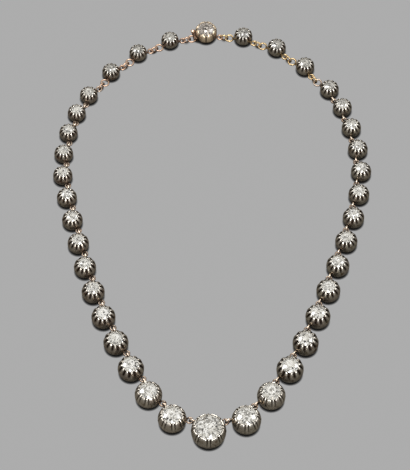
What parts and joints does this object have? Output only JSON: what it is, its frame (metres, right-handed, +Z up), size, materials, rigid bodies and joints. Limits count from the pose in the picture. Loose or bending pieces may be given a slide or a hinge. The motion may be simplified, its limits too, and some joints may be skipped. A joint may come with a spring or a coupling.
{
  "type": "riviere necklace",
  "caption": "Closed loop of round claw-set collets, graded from a large one in front to small ones at the back, joined by eyes and links, with a tongue clasp in the back collet.",
  "frame": {"origin": "middle of the bounding box, on the surface that the necklace lies on", "axes": "+Y from the front stone to the clasp, +Z up, toward the stones' tables"},
  "size_m": [0.1044, 0.1626, 0.0082],
  "materials": {
    "silver": "darkened silver, worn bright on the claws",
    "gold": "polished rose gold, darkened in the hollows",
    "clasp_gold": "pale worn gold",
    "diamond": "cut and polished"
  },
  "bodies": {
    "root": {"collet_centre": "silver", "collet_clasp": "clasp_gold", "clasp_tongue": "gold", "stone_centre": "diamond", "stone_clasp": "diamond", "stones_right": "diamond", "stones_left": "diamond", "links_right": "gold", "links_left": "gold", "collet_right_01": "silver", "collet_right_02": "silver", "collet_right_03": "silver", "collet_right_04": "silver", "collet_right_05": "silver", "collet_right_06": "silver", "collet_right_07": "silver", "collet_right_08": "silver", "collet_right_09": "silver", "collet_right_10": "silver", "collet_right_11": "silver", "collet_right_12": "silver", "collet_right_13": "silver", "collet_right_14": "silver", "collet_right_15": "silver", "collet_right_16": "silver", "collet_right_17": "silver", "collet_right_18": "silver", "collet_left_01": "silver", "collet_left_02": "silver", "collet_left_03": "silver", "collet_left_04": "silver", "collet_left_05": "silver", "collet_left_06": "silver", "collet_left_07": "silver", "collet_left_08": "silver", "collet_left_09": "silver", "collet_left_10": "silver", "collet_left_11": "silver", "collet_left_12": "silver", "collet_left_13": "silver", "collet_left_14": "silver", "collet_left_15": "silver", "collet_left_16": "silver", "collet_left_17": "silver", "collet_left_18": "silver"}
  },
  "joints": []
}
